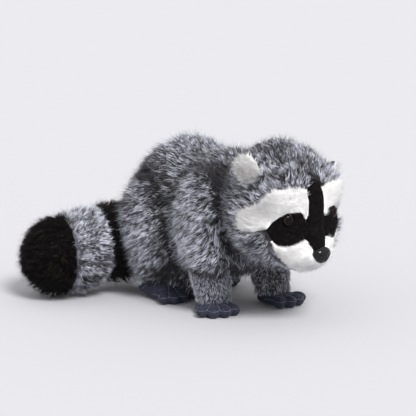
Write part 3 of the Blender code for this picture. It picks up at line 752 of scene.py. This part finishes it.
def nose_form(x, y, z):
    """Where a point of a ball goes: flat on top, narrow below, with two nostrils and a groove."""
    x *= 1.0 + (NOSE_FLARE if z > 0 else NOSE_TAPER) * z
    z *= NOSE_TOP if z > 0 else 1.0
    if y < 0:
        for side in SIDES.values():
            out = NOSTRIL_OUT - NOSTRIL_SLANT * (z + NOSTRIL_SLANT_FROM)
            gap = math.hypot(x - side * out, (z + NOSTRIL_LOW) * NOSTRIL_FLAT)
            y += NOSTRIL_DEEP * math.exp(-((gap / NOSTRIL_WIDE) ** 2))
        if z < GROOVE_TOP:
            y += GROOVE_DEEP * math.exp(-((x / GROOVE_WIDE) ** 2)) * min((GROOVE_TOP - z) / GROOVE_FADE, 1)
        y += DIP_DEEP * math.exp(-((x / DIP_WIDE) ** 2))
    return x, y, z


def make_nose(finish):
    """A wide leathery nose pad."""
    front = button_front("nose", NOSE_AXIS)
    bm = bmesh.new()
    bmesh.ops.create_icosphere(bm, subdivisions=4, radius=1)
    for vertex in bm.verts:
        vertex.co = nose_form(*vertex.co)
    place = Matrix.LocRotScale(front + Vector((0, NOSE_HALF.y, 0)), None, NOSE_HALF)
    bmesh.ops.transform(bm, matrix=place, verts=bm.verts)
    made = finished("nose_pad", bm, finish)
    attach(made, "root")
    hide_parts("nose")


def stitch(bm, start, end):
    """One short thread from start to end, a slim rounded rod."""
    along = end - start
    place = Matrix.LocRotScale((start + end) / 2, along.to_track_quat("Z", "Y"), None)
    size = Matrix.Diagonal((STITCH_THICK, STITCH_THICK, along.length * 0.5, 1))
    bmesh.ops.create_uvsphere(bm, u_segments=6, v_segments=4, radius=1, matrix=place @ size)


def sewn_line(bm, points):
    """Even stitches along a line of points."""
    travelled = 0.0
    for a, b in zip(points, points[1:]):
        travelled += (b - a).length
        if travelled > STITCH_PITCH:
            along = (b - a).normalized()
            stitch(bm, b - along * STITCH_LENGTH / 2, b + along * STITCH_LENGTH / 2)
            travelled = 0.0


def toe_seam(form, place, angle, end):
    """Points on the suede along a seam between toes, from past their tips to its end."""
    line = []
    start = PAW_REACH + PAST_TOES
    for k in range(TOE_SEAM_SPOTS):
        out = start - (start - end) * k / (TOE_SEAM_SPOTS - 1)
        spot = place @ Vector((math.sin(angle) * out, -math.cos(angle) * out, ABOVE_TOES))
        hit = form.ray_cast(spot, Vector((0, 0, -1)))
        if hit[0] is not None and hit[0].z > SOLE:
            line.append(hit[0] + hit[1] * STITCH_PROUD)
    return line


def side_seam(form, place):
    """Points on the suede round its front, at the height of the side seam."""
    line = []
    centre = place @ Vector((0, 0, SIDE_SEAM))
    for k in range(SIDE_SEAM_SPOTS):
        angle = math.radians(-SIDE_SEAM_TURN + 2 * SIDE_SEAM_TURN * k / (SIDE_SEAM_SPOTS - 1))
        out = (place.to_3x3() @ Vector((math.sin(angle), -math.cos(angle), 0))).normalized()
        hit = form.ray_cast(centre + out * BESIDE_PAW, -out)
        if hit[0] is not None:
            line.append(hit[0] + hit[1] * STITCH_PROUD)
    return line


def suede_piece(name, place, seam_end, finish, thread):
    """A suede paw or foot with its seams sewn in."""
    mesh = fine_form(name, SUEDE_CELL, SUEDE_ROUNDS)
    mesh.name = name + "_suede"
    mesh.materials.append(finish)
    mesh.shade_smooth()
    points, _, faces = arrays(mesh)
    form = tree_of(points, faces)
    made = link(name + "_suede", mesh)
    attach(made, "root")
    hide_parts(name)

    bm = bmesh.new()
    for i in range(-1, 2):
        sewn_line(bm, toe_seam(form, place, i * TOE_FAN, seam_end))
    sewn_line(bm, side_seam(form, place))
    threads = finished(name + "_stitches", bm, thread)
    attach(threads, "root")


def stand(x, y, turn):
    """The place on the floor of a paw or foot."""
    return Matrix.Translation((x, y, 0)) @ Matrix.Rotation(math.radians(turn), 4, "Z")


# Tone, painted shade and length of the pile over the toy
def near(spots, centre, reach):
    """1 at a centre, falling smoothly to 0 around it."""
    return np.exp(-(np.linalg.norm(spots - np.array(centre), axis=1) / reach) ** 2)


def near_nodes(names, reach):
    """A function of spots: 1 at the surfaces of the named solids, falling to 0 at the reach."""
    points, faces = [], []
    for name in names:
        start = len(points)
        points += [v.co for v in NODES[name].data.vertices]
        faces += [[k + start for k in p.vertices] for p in NODES[name].data.polygons]
    tree = BVHTree.FromPolygons(points, faces)

    def closeness(spots):
        far = np.array([tree.find_nearest(p)[3] for p in spots.tolist()])
        return np.clip(1 - far / reach, 0, 1)

    return closeness


def body_tone_and_shade(spots, out):
    """Darker where the pile faces up (painted shade), where it faces back and over the rump's sides (painted
    shade and the pile's browner shafts), and behind the ears (painted shade and a dark patch of pile).
    """
    rear = np.clip(out @ np.array((0, 0.9, 0.1)), 0, 1)
    behind = np.clip((spots[:, 1] + 0.01) / 0.05, 0, 1)
    shade = -0.18 * rear - 0.16 * np.clip(out[:, 2], 0, 1) - behind * (0.08 + 0.14 * np.abs(out[:, 0]))
    for side in SIDES.values():
        centre = NECK_SHADE.copy()
        centre.x *= side
        # Painted shade behind each ear, with a dark patch of pile there
        shade = shade - 0.72 * near(spots, centre, NECK_REACH)
    return shade


# Body pile: painted shade by facing, behind the ears and in creases, and streakier
BODY = {"tone_at": body_tone_and_shade, "crease_shade": 0.60, "streaky": 0.70}


# Finishes
def pile_finishes():
    """Grey, black, white and pale pile, each with its root, middle, dark tip and pale tip."""
    group = pile_group()
    grey = pile_material(
        "Frosted grey pile", group,
        (0.006, 0.005, 0.006), (0.022, 0.019, 0.023), (0.022, 0.019, 0.022), (0.85, 0.875, 1.0),
    )
    dark = pile_material(
        "Black pile", group,
        (0.002, 0.0015, 0.0015), (0.003, 0.0025, 0.0025), (0.003, 0.002, 0.002), (0.034, 0.025, 0.024),
        sheen=0.02, specular=0.08,
    )
    white = pile_material(
        "White pile", group,
        (0.93, 0.92, 0.91), (0.96, 0.955, 0.95), (0.50, 0.42, 0.37), (0.99, 0.99, 0.99),
        roughness=0.9, sheen=0.0,
    )
    pale = pile_material(
        "Pale grey pile", group,
        (0.10, 0.10, 0.11), (0.28, 0.28, 0.31), (0.26, 0.26, 0.30), (0.80, 0.81, 0.88),
    )
    return grey, dark, white, pale


def suede_finishes(grain):
    """Navy suede and its grey thread."""
    suede, shader = grained(
        "Navy suede", grain, (0.006, 0.007, 0.016), (0.028, 0.030, 0.056), 420, 0.0005, 0.8, 0.85
    )
    shader.inputs["Sheen Weight"].default_value = 0.18
    shader.inputs["Sheen Roughness"].default_value = 0.35
    shader.inputs["Sheen Tint"].default_value = (0.62, 0.66, 0.95, 1)
    thread, _ = grained(
        "Grey thread", grain, (0.16, 0.165, 0.24), (0.36, 0.37, 0.47), 2200, 0.0001, 0.4, 0.7
    )
    return suede, thread


def nose_finish(grain):
    """Black plastic with a fine leathery grain under a thin gloss."""
    leather, shader = grained(
        "Nose plastic", grain, (0.003, 0.003, 0.003), (0.010, 0.010, 0.011), 900, 0.0003, 0.55, 0.26
    )
    shader.inputs["Specular IOR Level"].default_value = 0.07
    shader.inputs["Coat Weight"].default_value = 0.40
    shader.inputs["Coat Roughness"].default_value = 0.05
    return leather


def washers(grain):
    """The white plastic of the three safety washers."""
    plastic, _ = grained(
        "Washer plastic", grain, (0.70, 0.70, 0.68), (0.78, 0.78, 0.76), 300, 0.0001, 0.2, 0.45
    )
    for name in ("eye_washer_right", "eye_washer_left", "nose_washer"):
        NODES[name].material_slots[0].material = plastic


# Covers
def torso(grey):
    by_tail = near_nodes(("tail_root_band", "tail_grey_band"), 0.016)

    def length_at(spots):
        """Shorter at the tail, and low on the chest."""
        chest = (spots[:, 2] < 0.055) & (spots[:, 1] < -0.03)
        return (1 - 0.5 * by_tail(spots)) * np.where(chest, 0.8, 1.0)

    furry("torso", grey, "grey_fur", ("along", (0, 0.9, -0.35)), length_at=length_at, **BODY)


def head(grey, face_spot):
    by_white = near_nodes(("brow_patch_right", "brow_patch_left", "muzzle"), 0.009)
    by_black = near_nodes(("forehead_stripe", "eye_patch_right", "eye_patch_left"), 0.009)
    by_ear = near_nodes(("ear_front_right", "ear_front_left"), 0.010)

    def length_at(spots):
        """Longer round the ears, and short under the chin."""
        chin = (spots[:, 2] < 0.066) & (spots[:, 1] < -0.10)
        return (1 + 0.6 * by_ear(spots)) * np.where(chin, 0.5, 1.0)

    furry(
        "head", grey, "grey_fur", ("away", face_spot), length=0.0110, tone=0.48, length_at=length_at,
        lift_at=lambda spots: 0.45 * by_white(spots) * (1 - by_black(spots)),
        tone_at=lambda spots, out: body_tone_and_shade(spots, out) + 0.3 * by_white(spots),
    )


def tail(grey, dark):
    root, band, tip = (middle_of(n) for n in ("tail_root_band", "tail_grey_band", "tail_tip"))
    by_root = near_nodes(("tail_root_band",), 0.014)
    by_tip = near_nodes(("tail_tip",), 0.009)
    furry("tail_root_band", dark, "dark_fur", ("along", root - band), **TAIL | BLACK)
    furry(
        "tail_grey_band", grey, "grey_fur", ("along", root - tip), tone=0.66,
        lift_at=lambda spots: 0.5 * by_tip(spots),
        length_at=lambda spots: 1 - 0.5 * by_root(spots), **TAIL
    )
    furry("tail_tip", dark, "dark_fur", ("along", tip - band), **TAIL | BLACK | {"length": 0.0094})


def haunch(key, side, grey):
    by_cuff = near_nodes((f"hind_cuff_{key}",), 0.012)
    by_tail = near_nodes(("tail_root_band", "tail_grey_band"), 0.016)
    furry(
        f"haunch_{key}", grey, "grey_fur", ("along", (side * 0.2, 0.9, -0.55)), tone=0.82,
        length_at=lambda spots: (1 + 0.35 * by_cuff(spots)) * (1 - 0.5 * by_tail(spots)),
        **BODY | {"tone_at": lambda spots, out: body_tone_and_shade(spots, out) + 0.8 * by_cuff(spots)}
    )


def arm(key, side, grey):
    """Upper arm in long pile and forearm in short pile, longer again at the paw."""
    by_paw = near_nodes((f"front_paw_{key}",), 0.010)
    furry(
        f"upper_arm_{key}", grey, "grey_fur", ("along", (side * 0.2, 0.75, -0.65)), tone=0.88, **BODY
    )
    furry(
        f"forearm_{key}", grey, "grey_fur", ("along", (0, 0.1, -1)),
        **SHORT | {
            "length": 0.0062, "width": 0.00044, "tone": FOREARM_TONE_AND_SHADE[key], "fleck": 0.30,
            "length_at": lambda spots: 1 + 0.9 * by_paw(spots), "seam_stand": 0.0006,
        }
    )


def cuff(key, side, pale):
    furry(
        f"hind_cuff_{key}", pale, "pale_fur", ("along", (side, 0.2, -0.6)),
        **SHORT | {"length": 0.0095, "width": 0.0006, "tone": 0.85, "skin_tone": 0.7, "lean": 56}
    )


def brow(key, white, nose_spot):
    eye = middle_of(f"eye_{key}")
    by_stripe = near_nodes(("forehead_stripe",), 0.006)

    def length_at(spots):
        """Longer away from the eye, and short at the stripe."""
        out = np.linalg.norm(spots - np.array(eye), axis=1) / 0.03
        return (1 - 0.6 * by_stripe(spots)) * (1 + 0.9 * np.clip(out - 0.5, 0, 1))

    furry(
        f"brow_patch_{key}", white, "white_fur", ("away", nose_spot),
        **WHITE | {"length": 0.0060, "length_at": length_at}
    )


def eye_patch(key, dark):
    furry(
        f"eye_patch_{key}", dark, "dark_fur", ("away", middle_of(f"eye_{key}")),
        **SHORT | {
            "length": 0.0036, "width": 0.00050, "tone": 0.25, "swirl": 0.8, "lean": 60, "wisps": 0.4,
            "seam_stand": 0.0003,
        }
    )


def ear(key, side, white, dark):
    """White front with painted shade along its fold, and dark back."""
    middle = middle_of(f"ear_front_{key}")
    foot = middle - Vector((0, 0, EAR_FOOT_DROP))
    across = Vector((-side * math.cos(PANEL_TURN), -math.sin(PANEL_TURN), 0))
    fold = [middle + across * x + Vector((0, 0, z)) for x, z in EAR_FOLD]

    def tone_at(spots, out):
        """Painted shade: darker in the fold."""
        return -0.9 * np.max([near(spots, spot, EAR_FOLD_SHADE_REACH) for spot in fold], axis=0)

    furry(
        f"ear_front_{key}", white, "white_fur", ("away", foot),
        **WHITE | {
            "length": 0.0085, "swirl": 0.9, "lean": 38, "soft_light": 0.10, "wisps": 0.7,
            "tone_at": tone_at,
        }
    )
    furry(
        f"ear_back_{key}", dark, "dark_fur", ("away", foot),
        **SHORT | {"length": 0.0040, "width": 0.00045, "tone": 0.6, "lean": 58}
    )


def forehead_stripe(dark, nose_spot):
    furry(
        "forehead_stripe", dark, "dark_fur", ("away", nose_spot),
        **SHORT | {
            "length": 0.0038, "width": 0.00046, "tone": 0.25, "swirl": 1.0, "lean": 60,
            "seam_stand": 0.0004,
        }
    )


def muzzle(white, nose_spot):
    by_head = near_nodes(("head",), 0.006)
    furry(
        "muzzle", white, "white_fur", ("away", nose_spot),
        **WHITE | {
            "length": 0.0050, "lean": 58, "droop": 0,
            "length_at": lambda spots: 1 - 0.2 * by_head(spots),
        }
    )


def build():
    studio_camera()
    studio_world()
    studio_floor()
    studio_lamp()
    grey, dark, white, pale = pile_finishes()
    grain = grain_group()
    suede, thread = suede_finishes(grain)
    leather = nose_finish(grain)
    washers(grain)

    eye_finish = eye_material()
    for key, side in SIDES.items():
        make_eye(key, side, eye_finish)
        suede_piece(f"front_paw_{key}", stand(*PAWS[key]), PAW_SEAM_END, suede, thread)
        ball = stand(*FEET[key]) @ Matrix.Translation((0, -FOOT_BALL, 0))
        suede_piece(f"hind_foot_{key}", ball, FOOT_SEAM_END, suede, thread)
        BARE.append((middle_of(f"eye_{key}"), EYE_RADIUS))
    make_nose(leather)
    nose_spot = middle_of("nose")
    BARE.append((nose_spot, NOSE_BARE))

    torso(grey)
    head(grey, nose_spot + FACE_FROM_NOSE)
    tail(grey, dark)
    for key, side in SIDES.items():
        haunch(key, side, grey)
        arm(key, side, grey)
        cuff(key, side, pale)
        brow(key, white, nose_spot)
        eye_patch(key, dark)
        ear(key, side, white, dark)
    forehead_stripe(dark, nose_spot)
    muzzle(white, nose_spot)
    bpy.context.scene.view_settings.view_transform = "Standard"


build()
